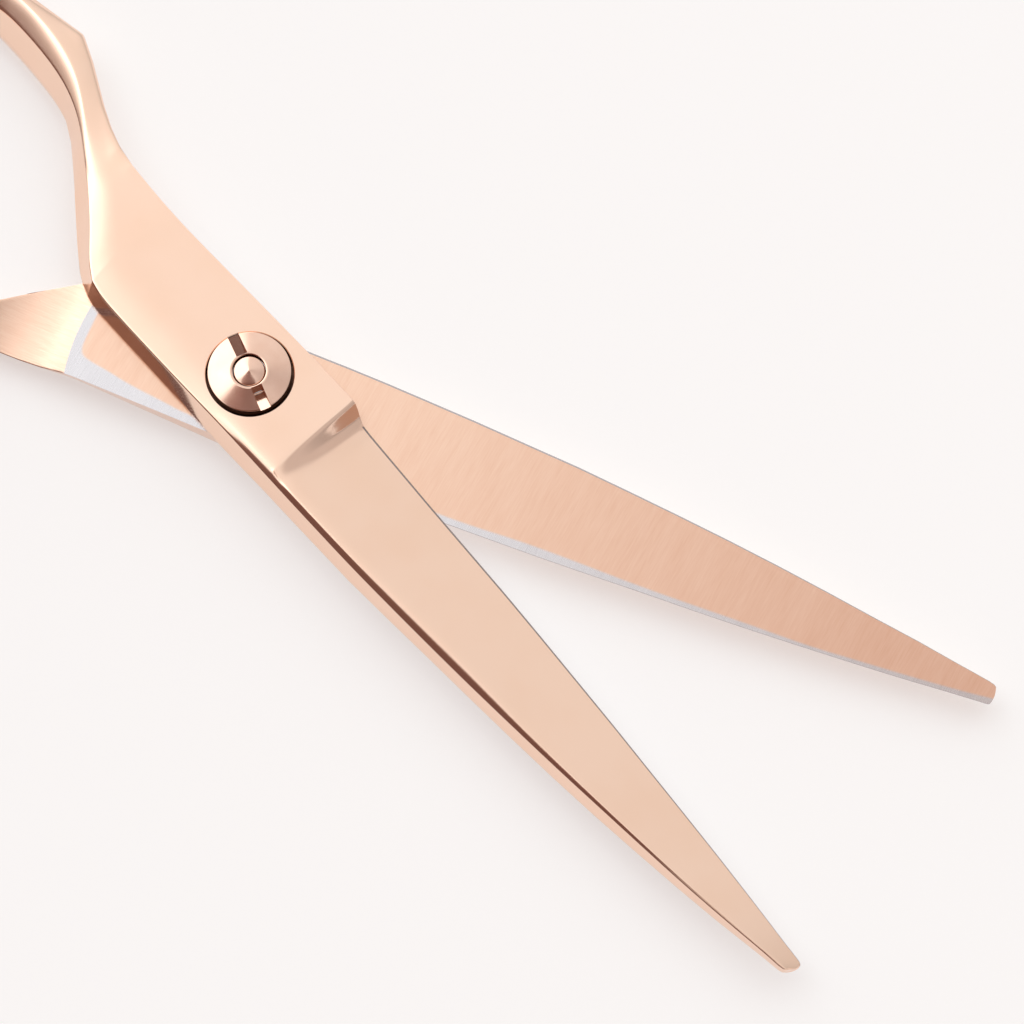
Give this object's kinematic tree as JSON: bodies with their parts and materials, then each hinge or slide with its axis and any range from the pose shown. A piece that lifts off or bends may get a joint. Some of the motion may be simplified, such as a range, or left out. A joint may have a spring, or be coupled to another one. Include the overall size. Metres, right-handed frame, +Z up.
{
  "type": "hair cutting shears",
  "caption": "Hair cutting shears: tapered blades crossing at a slotted tension dial, offset finger rings and a hooked finger rest, lying open.",
  "frame": {"origin": "on the pivot axis, at the underside of the pivot bolt's head, the surface that the shears lie on", "axes": "+X along the finger half to its blade tip, +Z up through the pivot towards the tension dial, +Y the side that the finger half's cutting edge and the opened thumb blade are on"},
  "size_m": [0.1701, 0.0878, 0.0059],
  "materials": {
    "rose_gold_blade": "rose-gold coated steel, polished outside, finely brushed ride faces, bare honed edges",
    "rose_gold_handle": "rose-gold coated steel, polished",
    "rose_gold_pivot": "rose-gold coated steel, turned and polished",
    "stud_steel": "plain stainless",
    "spring_steel": "spring steel",
    "soft_washer": "matte",
    "bumper_rubber": "matte",
    "glide_plastic": "satin"
  },
  "bodies": {
    "finger_half": {"finger_blade": "rose_gold_blade", "finger_handle": "rose_gold_handle", "finger_rest": "rose_gold_handle", "finger_rest_stud": "stud_steel", "finger_rest_washer": "soft_washer", "bumper": "bumper_rubber", "bumper_stud": "stud_steel", "pivot_bolt": "rose_gold_pivot", "glide_washer": "glide_plastic", "spring_washer": "spring_steel", "keyed_washer": "spring_steel"},
    "thumb_half": {"thumb_blade": "rose_gold_blade", "thumb_handle": "rose_gold_handle", "pivot_bush": "glide_plastic"},
    "tension_dial": {"tension_dial": "rose_gold_pivot", "dial_lock_ring": "glide_plastic"}
  },
  "joints": [
    {"name": "pivot", "type": "hinge", "parent": "finger_half", "child": "thumb_half", "pos_m": [0, 0, 0.0027], "axis": [0, 0, 1], "range_deg": [-24.7, 40.3]},
    {"name": "dial_turn", "type": "hinge", "parent": "finger_half", "child": "tension_dial", "pos_m": [0, 0, 0.0054], "axis": [0, 0, 1], "range_deg": [-90, 90]}
  ]
}
